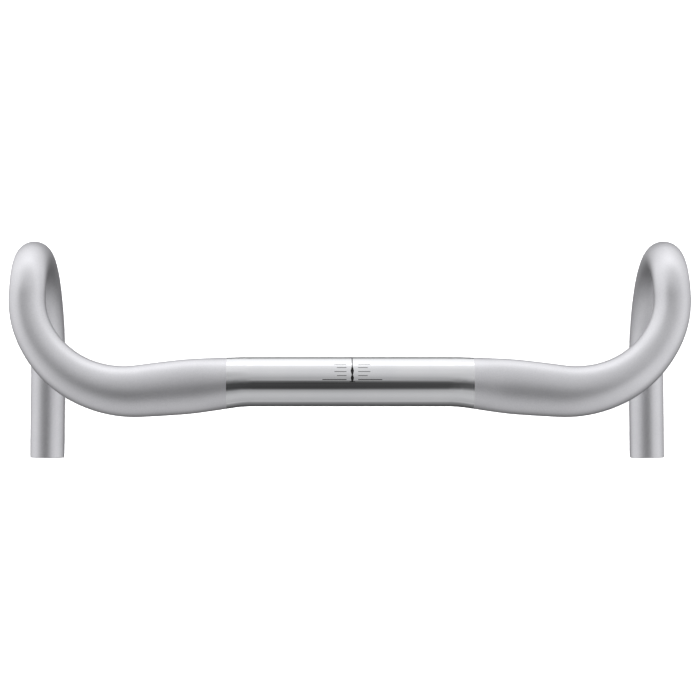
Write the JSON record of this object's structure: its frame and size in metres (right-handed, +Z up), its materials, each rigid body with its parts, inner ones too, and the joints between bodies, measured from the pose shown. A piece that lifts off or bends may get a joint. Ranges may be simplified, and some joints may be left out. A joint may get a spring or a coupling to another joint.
{
  "type": "drop handlebar",
  "caption": "Compact aluminium drop handlebar with a polished round clamp seat, swept flattened tops, round hooks and open bar ends.",
  "frame": {"origin": "centre of the stem clamp seat, on its axis", "axes": "+X to the rider's right along the clamp axis, +Y forward in the direction of riding, +Z up; the hooks reach forward and the drops hang below the origin"},
  "size_m": [0.4438, 0.1475, 0.1528],
  "materials": {
    "satin_aluminium": "satin, fine bead-blasted",
    "polished_aluminium": "mirror polished",
    "etched_mark": "dark, laser-etched"
  },
  "bodies": {
    "root": {"clamp_section": "polished_aluminium", "right_top": "satin_aluminium", "right_shoulder_inner": "satin_aluminium", "right_shoulder_outer": "satin_aluminium", "right_ramp": "satin_aluminium", "right_hook_upper": "satin_aluminium", "right_hook_middle": "satin_aluminium", "right_hook_lower": "satin_aluminium", "right_drop": "satin_aluminium", "left_top": "satin_aluminium", "left_shoulder_inner": "satin_aluminium", "left_shoulder_outer": "satin_aluminium", "left_ramp": "satin_aluminium", "left_hook_upper": "satin_aluminium", "left_hook_middle": "satin_aluminium", "left_hook_lower": "satin_aluminium", "left_drop": "satin_aluminium"}
  },
  "joints": []
}
